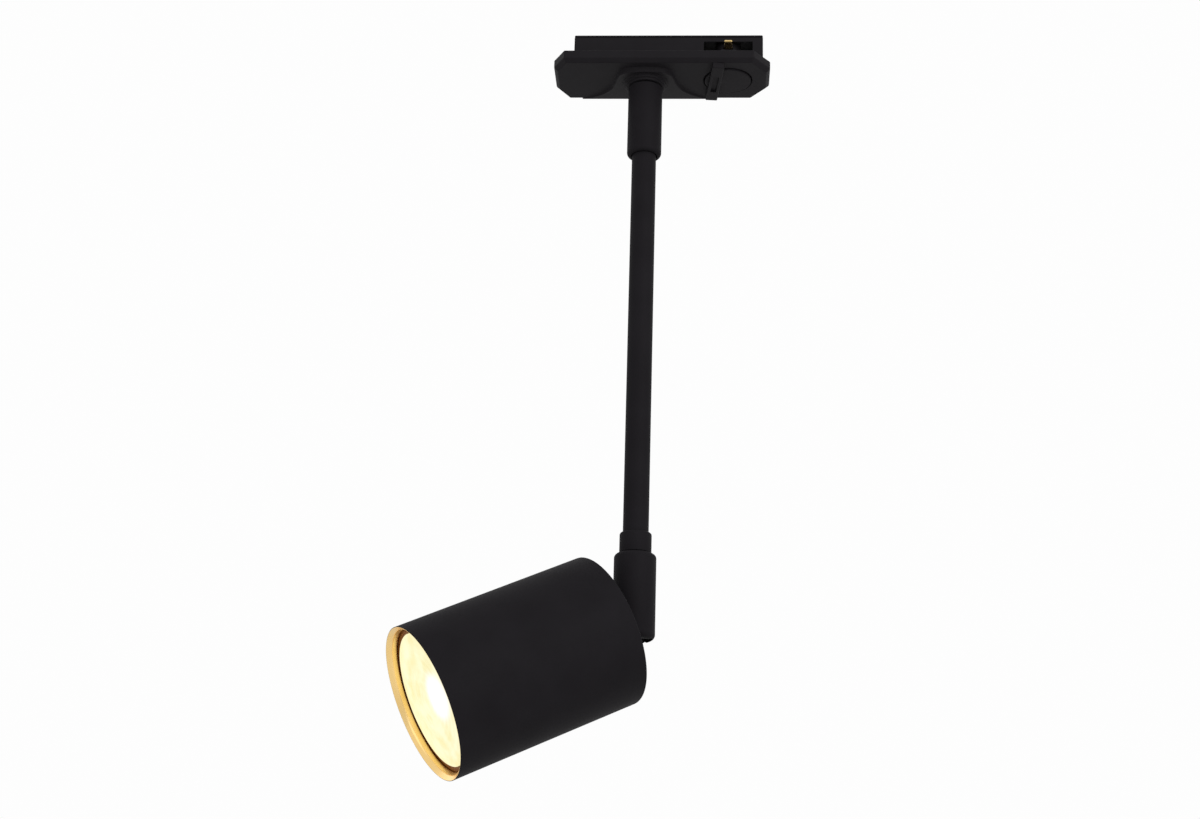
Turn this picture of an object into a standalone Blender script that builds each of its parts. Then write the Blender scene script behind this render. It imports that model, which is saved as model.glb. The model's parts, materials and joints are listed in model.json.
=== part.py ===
"""Track spotlight: a twist-lock track adapter, a drop stem, a swivel knuckle and a cylindrical lamp head.

Frame: the origin is on the stem's axis, in the plane where the adapter bears on the track's underside.
+Z is up, X runs along the track. Lengths below are millimetres, and MM turns them into metres.
"""
import math

import bmesh
import bpy
from mathutils import Matrix, Vector

MM = 0.001
GAP = 0.3                      # clearance between neighbouring solids

# ---- adapter: the plate under the track and the insert that goes up into its slot
PLATE_HALF_WIDTH = 16.3
PLATE_LEFT, PLATE_RIGHT = -38.2, 52.0
PLATE_DEPTH = 5.0              # how far the plate hangs below the track
PLATE_WALL = 1.6
PLATE_BEVEL = 1.6
FLOOR_TOP = PLATE_WALL - PLATE_DEPTH
BOSS_DEPTH = 8.8               # underside of the stem boss
COVER_SCREW_X, COVER_SCREW_Y = (-22.0, 16.0), -11.0
INSERT_LEFT, INSERT_RIGHT = -30.0, 49.0
INSERT_HALF_WIDTH = 7.3
INSERT_WALL = 1.2
INSERT_TOP = 11.2
FLANGE_TOP = -1.6              # upper face of the insert's flange
LIP_TOP = 1.8                  # upper face of the track's lips, which the wings and the hook rest on
HOOK_X = (-24.0, -16.0)
HOOK_THICKNESS = 1.4
TERMINAL_X = (-24.0, -19.5, -15.0)

# ---- lock rotor
LOCK_X = 34.5                  # its axis
KNOB_RADIUS = 9.7
KNOB_CLEARANCE = 0.6
KNOB_FLANGE = 11.6
KNOB_TOP, KNOB_FACE = -1.9, -5.5
RIB_X = (-8.0, -3.0)           # the grip rib's two sides, before its turn
RIB_Y = (-14.1, 13.35)         # and its ends
RIB_DEPTH = 7.4
RIB_TURN = 6.0
WING_REACH = 10.6              # how far the locking wings reach over the track's lips
BLADE_REACH = 11.2
BLADE_Z = (6.9, 8.0)

# ---- stem
COLLAR_RADIUS = 7.1
COLLAR_BOTTOM = -40.8
COLLAR_EDGE = 1.6
GRUB_Z = -33.0
TUBE_RADIUS = 5.0
TUBE_BORE = 3.4
TUBE_TOP, TUBE_BOTTOM = -22.3, -209.0
NIPPLE_RADIUS, NIPPLE_BORE = 4.0, 2.8
SLEEVE_RADIUS = 6.2
SLEEVE_TOP, SLEEVE_BOTTOM = -203.1, -211.2
SLEEVE_EDGE = 0.8
SPIGOT_RADIUS = 4.2
SPIGOT_BOTTOM = -224.0
GROOVE_Z = (-221.3, -219.7)    # the spigot's groove for the spring clip
CABLE_RADIUS = 2.3
CABLE_Z = (-226.0, 3.0)

# ---- knuckle
KNUCKLE_RADIUS = 8.15
KNUCKLE_TOP, KNUCKLE_BOTTOM = SLEEVE_BOTTOM - GAP, -245.0
KNUCKLE_TOP_EDGE, KNUCKLE_BOTTOM_EDGE = 1.7, 2.2
PIVOT_Z = -237.0
FORK_HALF_GAP = 4.3
EAR_RADIUS = 6.0
EAR_OUTER, EAR_INNER = 4.0, 1.7
PIN_RADIUS = 1.8
PIN_END = 7.1
HEAD_AZIMUTH = 23.1            # degrees from -X towards -Y
HEAD_DROP = 26.3               # degrees below the horizontal

# ---- head, measured along its own axis from the pivot
HEAD_RADIUS = 29.3
HEAD_WALL = 1.0
HEAD_BACK, HEAD_RIM = 12.7, 89.8
BACK_PLATE = 2.0
BACK_EDGE = 0.5
RIM_EDGE = 0.2                 # what is left of the wall's thickness at the sharp rim
LEAD_HOLE = 3.4
FOOT_RADIUS, FOOT_THICKNESS = 8.0, 1.5       # the tilt bracket's round foot
SCREW_BITE = 1.0               # how deep the bracket's screws go into the foot
BRACKET_SCREW_Y = (-5.9, 5.9)
RING_BORE = 27.4
RING_DEPTH = 3.8
SEAT_DEPTH = 3.4
LENS_RADIUS = 25.35
LENS_FACE = HEAD_RIM - 3.5
LENS_DOME = 1.2
LAMP_LENGTH = 50.0             # from the lens's edge to the face that carries the pins
LAMP_BASE = LENS_FACE - LAMP_LENGTH
PIN_CIRCLE = 5.0               # GU10 pins stand 10 mm apart
HOLDER_RADIUS = 11.0
HOLDER_FRONT, HOLDER_BACK = LAMP_BASE - 0.6, LAMP_BASE - 14.6
HOLDER_SCREW_Y = (-8.0, 8.0)
LAMP_TURN = 20.0               # degrees of the lamp's twist lock

for old in list(bpy.data.objects):
    bpy.data.objects.remove(old, do_unlink=True)

parts = bpy.data.collections.new("track_spotlight")
cutters = bpy.data.collections.new("cutters")
for group in (parts, cutters):
    bpy.context.scene.collection.children.link(group)
cutters.hide_render = True


# ---------------------------------------------------------------- helpers
def make_finish(name, colour, roughness, metallic=0.0, alpha=1.0, glow=0.0):
    material = bpy.data.materials.new(name)
    material.use_nodes = True
    shader = material.node_tree.nodes["Principled BSDF"]
    shader.inputs["Base Color"].default_value = (*colour, 1.0)
    shader.inputs["Roughness"].default_value = roughness
    shader.inputs["Metallic"].default_value = metallic
    shader.inputs["Alpha"].default_value = alpha
    shader.inputs["Emission Color"].default_value = (*colour, 1.0)
    shader.inputs["Emission Strength"].default_value = glow
    material.diffuse_color = (*colour, alpha)
    return material


BLACK = make_finish("black_powder_coat", (0.016, 0.015, 0.017), 0.5, 0.2)
PLASTIC = make_finish("black_plastic", (0.018, 0.016, 0.020), 0.45)
GOLD = make_finish("gold_anodised", (0.72, 0.42, 0.12), 0.3, 1.0)
BRONZE = make_finish("bronze_anodised", (0.20, 0.10, 0.03), 0.35, 0.8)
STEEL = make_finish("zinc_steel", (0.60, 0.60, 0.61), 0.35, 1.0)
BRASS = make_finish("brass", (0.75, 0.55, 0.22), 0.3, 1.0)
CERAMIC = make_finish("ceramic", (0.86, 0.85, 0.82), 0.55)
WHITE = make_finish("white_plastic", (0.82, 0.82, 0.80), 0.4)
LENS = make_finish("lamp_lens", (1.0, 0.88, 0.60), 0.25, glow=3.0)
BOARD = make_finish("led_board", (0.90, 0.90, 0.86), 0.4)
CABLE = make_finish("cable_sheath", (0.80, 0.80, 0.78), 0.55)
BROWN = make_finish("brown_lead", (0.20, 0.07, 0.03), 0.5)
BLUE = make_finish("blue_lead", (0.03, 0.10, 0.45), 0.5)
GREEN = make_finish("earth_lead", (0.15, 0.40, 0.06), 0.5)


def make_frame(name, place, turn=(0.0, 0.0, 0.0), parent=None):
    """An empty on a joint's axis, placed in millimetres and turned in degrees."""
    frame = bpy.data.objects.new(name, None)
    parts.objects.link(frame)
    frame.location = [v * MM for v in place]
    frame.rotation_euler = [math.radians(a) for a in turn]
    frame.parent = parent
    return frame


def place(name, mesh, finish, parent):
    """Put a mesh in the parts, or in the cutters if it has no finish."""
    thing = bpy.data.objects.new(name, mesh)
    thing.parent = parent
    if finish is None:
        cutters.objects.link(thing)
        thing.hide_render = True
        thing.display_type = "WIRE"
        return thing
    parts.objects.link(thing)
    mesh.materials.clear()
    mesh.materials.append(finish)
    return thing


def mesh_from(bm, name):
    mesh = bpy.data.meshes.new(name)
    bm.to_mesh(mesh)
    bm.free()
    return mesh


def box(name, low, high, finish=None, parent=None, turn=0.0, about=(0.0, 0.0)):
    """A box between two corners; turn swings it about a vertical line through about."""
    bm = bmesh.new()
    bmesh.ops.create_cube(bm, size=MM)
    size = [b - a for a, b in zip(low, high)]
    middle = [(a + b) / 2 * MM for a, b in zip(low, high)]
    bmesh.ops.scale(bm, vec=size, verts=bm.verts)
    bmesh.ops.translate(bm, vec=middle, verts=bm.verts)
    centre = [v * MM for v in (*about, 0.0)]
    bmesh.ops.rotate(bm, cent=centre, matrix=Matrix.Rotation(math.radians(turn), 3, "Z"), verts=bm.verts)
    return place(name, mesh_from(bm, name), finish, parent)


def cylinder(name, radius, z_low, z_high, finish=None, parent=None, at=(0.0, 0.0), sides=24):
    """A solid cylinder along Z."""
    bm = bmesh.new()
    bmesh.ops.create_cone(bm, cap_ends=True, segments=sides, radius1=radius * MM, radius2=radius * MM,
                          depth=(z_high - z_low) * MM)
    bmesh.ops.translate(bm, vec=(at[0] * MM, at[1] * MM, (z_low + z_high) / 2 * MM), verts=bm.verts)
    mesh = mesh_from(bm, name)
    mesh.shade_smooth()
    mesh.set_sharp_from_angle(angle=math.radians(40))
    return place(name, mesh, finish, parent)


def lay_along(thing, axis, place_mm):
    """Turn a piece made along Z to lie along X or Y, with its own origin at place_mm."""
    thing.rotation_euler = (0, math.pi / 2, 0) if axis == "X" else (-math.pi / 2, 0, 0)
    thing.location = [v * MM for v in place_mm]
    return thing


def turned(name, profile, finish=None, parent=None, ring=False, sides=32, at=(0.0, 0.0)):
    """A turned piece: profile is (radius, z) down its outer side; a ring's profile closes on itself."""
    mesh = bpy.data.meshes.new(name)
    count = len(profile)
    edges = [(i, i + 1) for i in range(count - 1)] + ([(count - 1, 0)] if ring else [])
    mesh.from_pydata([(r * MM, 0.0, z * MM) for r, z in profile], edges, [])
    thing = place(name, mesh, finish, parent)
    thing.location = (at[0] * MM, at[1] * MM, 0.0)
    screw = thing.modifiers.new("turn", "SCREW")
    screw.axis = "Z"
    screw.steps = screw.render_steps = sides
    screw.use_merge_vertices = True
    screw.merge_threshold = 1e-6
    screw.use_smooth_shade = True
    return thing


def arc(centre_r, centre_z, radius, start, stop, steps=4):
    """Points of a quarter arc in a turned profile, in degrees from the +radius direction."""
    angles = [math.radians(start + (stop - start) * i / steps) for i in range(steps + 1)]
    return [(centre_r + radius * math.cos(a), centre_z + radius * math.sin(a)) for a in angles]


def curve_mesh(curve, name):
    """The mesh that a curve makes, with its caps welded."""
    temp = bpy.data.objects.new(name, curve)
    bpy.context.scene.collection.objects.link(temp)
    bpy.context.view_layer.update()
    mesh = bpy.data.meshes.new_from_object(temp.evaluated_get(bpy.context.evaluated_depsgraph_get()))
    bpy.data.objects.remove(temp)
    bm = bmesh.new()
    bm.from_mesh(mesh)
    bmesh.ops.remove_doubles(bm, verts=bm.verts, dist=1e-6)
    bm.to_mesh(mesh)
    bm.free()
    mesh.name = name
    return mesh


def slab(name, outline, z_low, z_high, finish=None, parent=None):
    """A flat outline with thickness along Z."""
    curve = bpy.data.curves.new(name, "CURVE")
    curve.dimensions = "2D"
    curve.fill_mode = "BOTH"
    curve.extrude = (z_high - z_low) / 2 * MM
    curve.render_resolution_u = 0
    line = curve.splines.new("POLY")
    line.points.add(len(outline) - 1)
    for point, (x, y) in zip(line.points, outline):
        point.co = (x * MM, y * MM, 0.0, 1.0)
    line.use_cyclic_u = True
    mesh = curve_mesh(curve, name)
    mesh.transform(Matrix.Translation((0.0, 0.0, (z_low + z_high) / 2 * MM)))
    return place(name, mesh, finish, parent)


def wire(name, route, radius, finish, parent):
    """A lead that follows a route of smooth points, a tube with closed ends."""
    curve = bpy.data.curves.new(name, "CURVE")
    curve.dimensions = "3D"
    curve.bevel_depth = radius * MM
    curve.bevel_resolution = 1
    curve.use_fill_caps = True
    curve.render_resolution_u = 0
    curve.resolution_u = 3
    line = curve.splines.new("NURBS")
    line.points.add(len(route) - 1)
    for point, spot in zip(line.points, route):
        point.co = (*[v * MM for v in spot], 1.0)
    line.order_u = 3
    line.use_endpoint_u = True
    return place(name, curve_mesh(curve, name), finish, parent)


def boolean(target, tool, operation):
    step = target.modifiers.new(tool.name, "BOOLEAN")
    step.operation = operation
    step.solver = "EXACT"
    step.object = tool


def cut(target, *tools):
    for tool in tools:
        boolean(target, tool, "DIFFERENCE")


def join(target, *tools):
    for tool in tools:
        boolean(target, tool, "UNION")


def soften(target, width, segments=2, angle=40.0):
    """Rounded edges."""
    step = target.modifiers.new("soften", "BEVEL")
    step.width = width * MM
    step.segments = segments
    step.limit_method = "ANGLE"
    step.angle_limit = math.radians(angle)
    step.use_clamp_overlap = True


def inward(outline, distance):
    """A convex outline, wound anticlockwise, with each side moved inwards."""
    moved = []
    for i, corner in enumerate(outline):
        before, after = outline[i - 1], outline[(i + 1) % len(outline)]
        first = Vector((before[1] - corner[1], corner[0] - before[0])).normalized()
        second = Vector((corner[1] - after[1], after[0] - corner[0])).normalized()
        moved.append(tuple(Vector(corner) + (first + second) * distance / (1 + first.dot(second))))
    return moved


# ---------------------------------------------------------------- frames on the joints' axes
adapter_frame = make_frame("adapter_frame", (0, 0, 0))
lock_frame = make_frame("lock_axis", (LOCK_X, 0, 0), parent=adapter_frame)
pan_frame = make_frame("pan_axis", (0, 0, 0), (0, 0, 180 + HEAD_AZIMUTH), adapter_frame)
tilt_frame = make_frame("tilt_axis", (0, 0, PIVOT_Z), (0, 90 + HEAD_DROP, 0), pan_frame)
lamp_frame = make_frame("lamp_axis", (0, 0, 0), parent=tilt_frame)

PLATE_OUTLINE = [
    (-33.5, -PLATE_HALF_WIDTH), (45.0, -PLATE_HALF_WIDTH), (PLATE_RIGHT, -7.0), (PLATE_RIGHT, 7.0),
    (45.0, PLATE_HALF_WIDTH), (-33.5, PLATE_HALF_WIDTH), (PLATE_LEFT, 8.0), (PLATE_LEFT, -8.0)]


# ---------------------------------------------------------------- adapter
def adapter_cover():
    """The moulded plate under the track, open at the top, with the boss that the stem hangs from."""
    cover = slab("adapter_cover", PLATE_OUTLINE, -PLATE_DEPTH, 0.0, PLASTIC, adapter_frame)
    weight = cover.data.attributes.new("bevel_weight_edge", "FLOAT", "EDGE")
    for edge in cover.data.edges:
        low = all(abs(cover.data.vertices[v].co.z + PLATE_DEPTH * MM) < 1e-6 for v in edge.vertices)
        weight.data[edge.index].value = 1.0 if low else 0.0
    bevel = cover.modifiers.new("lower_edge", "BEVEL")
    bevel.limit_method = "WEIGHT"
    bevel.width = PLATE_BEVEL * MM
    bevel.segments = 1
    root, fillet, shoulder, neck = -PLATE_DEPTH + 1.0, 2.1, 9.6, 8.2
    shoulder_z = -PLATE_DEPTH - fillet
    boss = turned("boss_shape", [(0, root), (shoulder + fillet, root)]
                  + arc(shoulder + fillet, shoulder_z, fillet, 90, 180)
                  + [(neck + 0.4, shoulder_z - 0.5), (neck, shoulder_z - 0.7), (neck - 0.2, -BOSS_DEPTH),
                     (0, -BOSS_DEPTH)])
    hollow = slab("cover_hollow", inward(PLATE_OUTLINE, PLATE_WALL), FLOOR_TOP, 1.0)
    nipple_hole = cylinder("nipple_hole", NIPPLE_RADIUS + GAP, -BOSS_DEPTH - 1, 0)
    knob_hole = cylinder("knob_hole", KNOB_RADIUS + KNOB_CLEARANCE, -PLATE_DEPTH - 1, 0, at=(LOCK_X, 0),
                         sides=40)
    join(cover, boss, fan_shape())
    cut(cover, hollow, nipple_hole, knob_hole)
    pilot_radius, pilot_depth = 0.9, 0.9
    for x in COVER_SCREW_X:
        cut(cover, cylinder("cover_pilot", pilot_radius, FLOOR_TOP - pilot_depth, 0, at=(x, COVER_SCREW_Y),
                            sides=12))


def fan_shape():
    """The raised foot that spreads from the boss to the plate's far edge and dies out there."""
    root = -PLATE_DEPTH + 0.8
    crown_radius, crown_z = 9.2, -6.9
    crown = [(crown_radius * math.cos(a), crown_radius * math.sin(a))
             for a in (math.radians(-20 + 20 * i) for i in range(12))]
    points = [(x, y, z) for x, y in crown for z in (crown_z, root)]
    for side in (-1, 1):
        points += [(side * 21.0, 13.6, -PLATE_DEPTH - 0.05), (side * 21.0, 13.6, root),
                   (side * 11.6, -3.4, -PLATE_DEPTH - 0.1)]
    bm = bmesh.new()
    for point in points:
        bm.verts.new(Vector(point) * MM)
    bmesh.ops.convex_hull(bm, input=bm.verts)
    loose = [v for v in bm.verts if not v.link_faces]
    bmesh.ops.delete(bm, geom=loose, context="VERTS")
    bmesh.ops.recalc_face_normals(bm, faces=bm.faces)
    return place("fan_shape", mesh_from(bm, "fan_shape"), None, None)


def insert_body():
    """The housing that goes up into the track's slot, with the flange that the cover holds."""
    flange = slab("insert_body", inward(PLATE_OUTLINE, PLATE_WALL + GAP), FLOOR_TOP + GAP, FLANGE_TOP,
                  PLASTIC, adapter_frame)
    low, high = FLOOR_TOP - 1, INSERT_TOP + 1
    tower = box("insert_tower", (INSERT_LEFT, -INSERT_HALF_WIDTH, FLANGE_TOP - 0.6),
                (INSERT_RIGHT, INSERT_HALF_WIDTH, INSERT_TOP))
    inside = INSERT_HALF_WIDTH - INSERT_WALL
    well = box("insert_well", (INSERT_LEFT + INSERT_WALL, -inside, low),
               (INSERT_RIGHT - INSERT_WALL, inside, high))
    window_half, window_bottom, window_top = 10.2, 1.2, 9.4
    window = box("rotor_window", (LOCK_X - window_half, -INSERT_HALF_WIDTH - 1, window_bottom),
                 (LOCK_X + window_half, INSERT_HALF_WIDTH + 1, window_top))
    rotor_hole = cylinder("rotor_hole", KNOB_FLANGE + 0.5, low, FLANGE_TOP + 0.6, at=(LOCK_X, 0), sides=40)
    nut_hole = cylinder("nut_hole", 8.2, low, 0.2)
    hook_slot = box("hook_slot", (HOOK_X[0] - 0.4, inside - 1, LIP_TOP - GAP),
                    (HOOK_X[1] + 0.4, INSERT_HALF_WIDTH + 1, LIP_TOP + HOOK_THICKNESS + GAP))
    join(flange, tower)
    cut(flange, well, window, rotor_hole, nut_hole, hook_slot)
    for x in COVER_SCREW_X:
        cut(flange, cylinder("flange_hole", 1.3, low, 0, at=(x, COVER_SCREW_Y), sides=12))


def insert_cap():
    """The lid of the insert, with two slots for the earth spring's legs."""
    thickness = 1.2
    bottom = INSERT_TOP + GAP
    cap = box("insert_cap", (INSERT_LEFT, -INSERT_HALF_WIDTH, bottom),
              (INSERT_RIGHT, INSERT_HALF_WIDTH, bottom + thickness), PLASTIC, adapter_frame)
    soften(cap, 0.4, 1)
    half_x, half_y = 0.9, 2.4
    for x in (-8.5, 4.5):
        cut(cap, box("earth_slot", (x - half_x, -half_y, bottom - 1),
                     (x + half_x, half_y, bottom + thickness + 1)))


def adapter_metal():
    """Hook, earth spring, terminals and fasteners of the adapter."""
    box("end_hook", (HOOK_X[0], 1.5, LIP_TOP), (HOOK_X[1], WING_REACH, LIP_TOP + HOOK_THICKNESS),
        STEEL, adapter_frame)
    foot, shoulder, crest = INSERT_TOP - 1.2, INSERT_TOP + 1.7, INSERT_TOP + 3.0
    rise = [(-9.0, foot), (-8.0, foot), (-8.0, shoulder), (-5.0, crest), (1.0, crest), (4.0, shoulder),
            (4.0, foot), (5.0, foot), (5.0, shoulder + 0.6), (1.2, crest + 0.6), (-5.2, crest + 0.6),
            (-9.0, shoulder + 0.6)]
    spring = slab("earth_contact", rise, -2.0, 2.0, BRASS, adapter_frame)
    spring.rotation_euler = (math.pi / 2, 0, 0)
    block_bottom, block_top, block_half = 4.4, 9.8, 5.4
    block = box("terminal_block", (-27.0, -block_half, block_bottom), (-12.0, block_half, block_top),
                WHITE, adapter_frame)
    floor, screw_radius, drive_half = 7.0, 1.2, 0.25
    for i, x in enumerate(TERMINAL_X):
        cut(block, cylinder("terminal_hole", screw_radius + GAP, floor, block_top + 1, at=(x, 0), sides=16))
        screw = cylinder(f"terminal_screw_{i + 1}", screw_radius, floor + GAP, block_top - 0.2,
                         BRASS, adapter_frame, at=(x, 0), sides=16)
        cut(screw, box("terminal_drive", (x - screw_radius - GAP, -drive_half, block_top - 0.7),
                       (x + screw_radius + GAP, drive_half, block_top + 1)))
    for i, x in enumerate(COVER_SCREW_X):
        turned(f"cover_screw_{i + 1}", [
            (0, -0.5), (1.5, -0.5), (1.8, -0.8), (1.8, FLANGE_TOP + 0.35), (0.95, FLANGE_TOP + 0.35),
            (0.6, FLOOR_TOP - 0.6), (0, FLOOR_TOP - 0.6)],
            STEEL, adapter_frame, at=(x, COVER_SCREW_Y), sides=16)
    nut = cylinder("stem_locknut", 7.5, FLOOR_TOP + GAP, -0.6, STEEL, adapter_frame, sides=6)
    cut(nut, cylinder("nut_thread", NIPPLE_RADIUS + GAP, FLOOR_TOP - 1, 1))


def adapter_leads():
    """The supply leads in the adapter: from the rotor and the earth spring to the terminals."""
    radius = 0.7
    for name, side, finish in (("live_lead", 1, BROWN), ("neutral_lead", -1, BLUE)):
        wire(name, [(28.2, side * 2.2, 6.0), (20, side * 3.2, 5.6), (8, side * 3.6, 7.2),
                    (-4, side * 3.4, 6.2), (-11.5, side * 3.2, 6.4)], radius, finish, adapter_frame)
    wire("earth_lead", [(-2.5, 0, 9.6), (-2.5, 0, 8.0), (-6.0, 0, 6.6), (-11.5, 0, 6.4)], radius,
         GREEN, adapter_frame)


# ---------------------------------------------------------------- lock rotor
def lock_rotor():
    """The knob under the plate and the contact carrier above it turn together."""
    flange_bottom, edge = -3.0, 0.3
    knob = turned("lock_knob", [
        (0, KNOB_TOP), (KNOB_FLANGE, KNOB_TOP), (KNOB_FLANGE, flange_bottom), (KNOB_RADIUS, flange_bottom),
        (KNOB_RADIUS, KNOB_FACE + edge), (KNOB_RADIUS - edge, KNOB_FACE), (0, KNOB_FACE)],
        PLASTIC, lock_frame, sides=36)
    rib = box("rib_shape", (RIB_X[0], RIB_Y[0], -RIB_DEPTH), (RIB_X[1], RIB_Y[1], KNOB_FACE + 0.15),
              parent=lock_frame, turn=RIB_TURN)
    soften(rib, 0.5, 1)
    side, length, depth = 1.4, 6.0, 0.8
    dimple = box("rib_dimple", (RIB_X[0] + side, -length, -RIB_DEPTH - 1),
                 (RIB_X[1] - side, length, -RIB_DEPTH + depth), parent=lock_frame, turn=RIB_TURN)
    join(knob, rib)
    cut(knob, dimple, cylinder("knob_pilot", 1.0, KNOB_FACE + 0.9, 0, parent=lock_frame, sides=16))

    wing_half = 3.4
    carrier = cylinder("rotor_carrier", 5.4, KNOB_TOP + GAP, INSERT_TOP - 0.4, PLASTIC, lock_frame, sides=32)
    wings = box("wing_shape", (-wing_half, -WING_REACH, LIP_TOP), (wing_half, WING_REACH, LIP_TOP + 2.2),
                parent=lock_frame)
    soften(wings, 0.6, 1)
    seat = 5.5
    bore = cylinder("rotor_bore", 1.5, KNOB_TOP - 1, seat, parent=lock_frame, sides=16)
    counterbore = cylinder("rotor_counterbore", 2.6, seat - 0.5, INSERT_TOP + 1, parent=lock_frame, sides=20)
    join(carrier, wings)
    cut(carrier, bore, counterbore)
    blade_half, blade_root, slot_end = 1.6, 3.2, 7.0
    for name, side in (("live_contact", 1), ("neutral_contact", -1)):
        near, far = sorted((side * (blade_root - 0.2), side * slot_end))
        cut(carrier, box("blade_slot", (-blade_half - GAP, near, BLADE_Z[0] - GAP),
                         (blade_half + GAP, far, BLADE_Z[1] + GAP), parent=lock_frame))
        near, far = sorted((side * blade_root, side * BLADE_REACH))
        blade = box(name, (-blade_half, near, BLADE_Z[0]), (blade_half, far, BLADE_Z[1]), BRASS, lock_frame)
        soften(blade, 0.3, 1)
    turned("rotor_screw", [
        (0, seat + 1.5), (2.1, seat + 1.5), (2.2, seat + 1.2), (2.2, seat + GAP), (1.15, seat + GAP),
        (0.7, KNOB_FACE + 1.3), (0, KNOB_FACE + 1.3)], STEEL, lock_frame, sides=20)


# ---------------------------------------------------------------- stem
def stem():
    """Everything between the adapter's boss and the swivel, all of it fixed to the adapter."""
    nipple_top, nipple_bottom = 0.4, TUBE_TOP + 0.6
    turned("upper_nipple", [(NIPPLE_RADIUS, nipple_top), (NIPPLE_RADIUS, nipple_bottom),
                            (NIPPLE_BORE, nipple_bottom), (NIPPLE_BORE, nipple_top)],
           STEEL, adapter_frame, ring=True, sides=24)
    top = -BOSS_DEPTH - GAP
    collar = turned("stem_collar", [(COLLAR_RADIUS, top)]
                    + arc(COLLAR_RADIUS - COLLAR_EDGE, COLLAR_BOTTOM + COLLAR_EDGE, COLLAR_EDGE, 0, -90)
                    + [(TUBE_RADIUS + GAP, COLLAR_BOTTOM), (TUBE_RADIUS + GAP, TUBE_TOP + GAP),
                       (NIPPLE_RADIUS + GAP, TUBE_TOP + GAP), (NIPPLE_RADIUS + GAP, top)],
                    BLACK, adapter_frame, ring=True, sides=36)
    grub_radius, grub_in, grub_out = 1.5, TUBE_RADIUS + GAP + 0.05, COLLAR_RADIUS - GAP
    place_mm = (0, 0, GRUB_Z)
    hole = cylinder("grub_hole", grub_radius + GAP, TUBE_RADIUS - 0.5, COLLAR_RADIUS + 1, sides=16)
    cut(collar, lay_along(hole, "Y", place_mm))
    grub = cylinder("collar_grub_screw", grub_radius, grub_in, grub_out, STEEL, adapter_frame, sides=16)
    socket = cylinder("grub_socket", 0.8, grub_out - 0.7, grub_out + 1, sides=6)
    cut(lay_along(grub, "Y", place_mm), lay_along(socket, "Y", place_mm))
    turned("stem_tube", [(TUBE_RADIUS, TUBE_TOP), (TUBE_RADIUS, TUBE_BOTTOM), (TUBE_BORE, TUBE_BOTTOM),
                         (TUBE_BORE, TUBE_TOP)], BLACK, adapter_frame, ring=True, sides=32)
    groove = SPIGOT_RADIUS - 0.7
    groove_low, groove_high = GROOVE_Z
    turned("swivel_sleeve", arc(SLEEVE_RADIUS - SLEEVE_EDGE, SLEEVE_TOP - SLEEVE_EDGE, SLEEVE_EDGE, 90, 0, 2)
           + [(SLEEVE_RADIUS, SLEEVE_BOTTOM), (SPIGOT_RADIUS, SLEEVE_BOTTOM), (SPIGOT_RADIUS, groove_high),
              (groove, groove_high), (groove, groove_low), (SPIGOT_RADIUS, groove_low),
              (SPIGOT_RADIUS, SPIGOT_BOTTOM), (NIPPLE_BORE, SPIGOT_BOTTOM), (NIPPLE_BORE, TUBE_BOTTOM - GAP),
              (TUBE_RADIUS + GAP, TUBE_BOTTOM - GAP), (TUBE_RADIUS + GAP, SLEEVE_TOP)],
           BLACK, adapter_frame, ring=True, sides=32)
    cylinder("supply_cable", CABLE_RADIUS, *CABLE_Z, CABLE, adapter_frame, sides=16)


# ---------------------------------------------------------------- knuckle
def across(thing, side):
    """Lay a piece of the knuckle along the tilt axis, on one side of the pivot."""
    lay_along(thing, "Y", (0, 0, PIVOT_Z))
    thing.rotation_euler[0] *= side
    return thing


def knuckle():
    """The swivel body turns about the stem and carries the two tilt pins."""
    top, bottom = KNUCKLE_TOP_EDGE, KNUCKLE_BOTTOM_EDGE
    body = turned("knuckle_body", [(0, KNUCKLE_TOP)]
                  + arc(KNUCKLE_RADIUS - top, KNUCKLE_TOP - top, top, 90, 0, 3)
                  + arc(KNUCKLE_RADIUS - bottom, KNUCKLE_BOTTOM + bottom, bottom, 0, -90)
                  + [(0, KNUCKLE_BOTTOM)], BLACK, pan_frame, sides=40)
    fork_top = PIVOT_Z + EAR_RADIUS + 0.7
    fork = box("fork_gap", (-EAR_RADIUS - 0.4, -FORK_HALF_GAP, KNUCKLE_BOTTOM - 2),
               (KNUCKLE_RADIUS + 2, FORK_HALF_GAP, fork_top), parent=pan_frame)
    bore = cylinder("swivel_bore", SPIGOT_RADIUS + GAP, SPIGOT_BOTTOM - 1, KNUCKLE_TOP + 1, parent=pan_frame,
                    sides=40)
    groove_low, groove_high = GROOVE_Z
    clip_out, clip_in, slack = 5.8, 3.8, 0.25
    chamber = cylinder("clip_chamber", clip_out + 0.4, fork_top - 1.2, groove_high + GAP, parent=pan_frame,
                       sides=40)
    cut(body, fork, bore, chamber)
    for side in (-1, 1):
        hole = cylinder("pin_hole", PIN_RADIUS + GAP, FORK_HALF_GAP - 1, PIN_END + GAP, parent=pan_frame,
                        sides=24)
        cut(body, across(hole, side))
        pin = cylinder(f"pivot_pin_{1 if side < 0 else 2}", PIN_RADIUS, EAR_INNER + 0.1, PIN_END,
                       STEEL, pan_frame, sides=24)
        across(pin, side)
    clip = turned("swivel_clip", [(clip_out, groove_high - slack), (clip_out, groove_low + slack),
                                  (clip_in, groove_low + slack), (clip_in, groove_high - slack)],
                  STEEL, pan_frame, ring=True, sides=24)
    mouth_half = 2.2
    cut(clip, box("clip_mouth", (-clip_out - 1, -mouth_half, groove_low - 1),
                  (-1, mouth_half, groove_high + 1), parent=pan_frame))


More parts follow.
